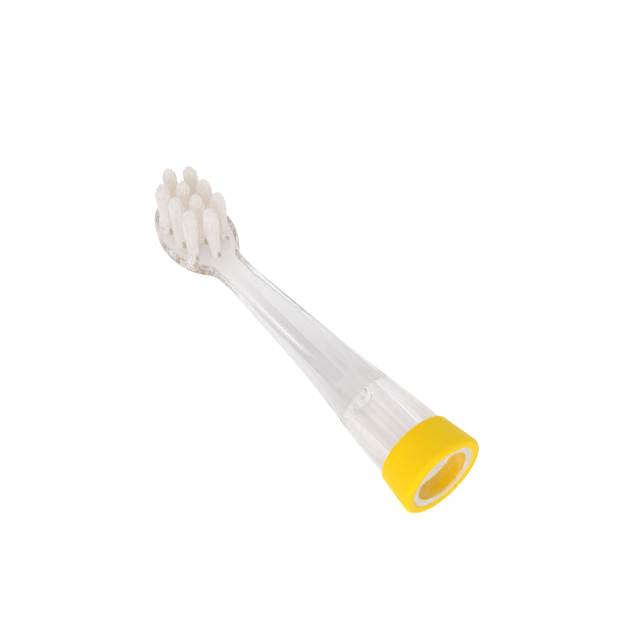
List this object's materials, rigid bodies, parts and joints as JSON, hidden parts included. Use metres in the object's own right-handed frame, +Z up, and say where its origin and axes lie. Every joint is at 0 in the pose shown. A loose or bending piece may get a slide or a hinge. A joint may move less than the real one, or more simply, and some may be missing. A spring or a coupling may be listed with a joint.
{
  "type": "electric toothbrush head",
  "caption": "Child-size electric toothbrush head: clear moulded plate, neck and stepped push-on socket, stapled nylon tufts and a yellow base ring.",
  "frame": {"origin": "on the socket's axis, at the step where the handle's collar stops", "axes": "+X from the socket to the tip, +Z up with the bristles, lying on its back on a level surface"},
  "size_m": [0.0724, 0.0154, 0.0154],
  "materials": {
    "clear_plastic": "clear, polished",
    "yellow_plastic": "satin moulded",
    "nylon_filament": "fine translucent filaments",
    "anchor_brass": "stamped strip"
  },
  "bodies": {
    "root": {"brush_body": "clear_plastic", "base_ring": "yellow_plastic", "tuft_left_1": "nylon_filament", "tuft_left_2": "nylon_filament", "tuft_left_3": "nylon_filament", "tuft_middle_1": "nylon_filament", "tuft_middle_2": "nylon_filament", "tuft_middle_3": "nylon_filament", "tuft_middle_4": "nylon_filament", "tuft_right_1": "nylon_filament", "tuft_right_2": "nylon_filament", "tuft_right_3": "nylon_filament", "anchor_staples": "anchor_brass"}
  },
  "joints": []
}
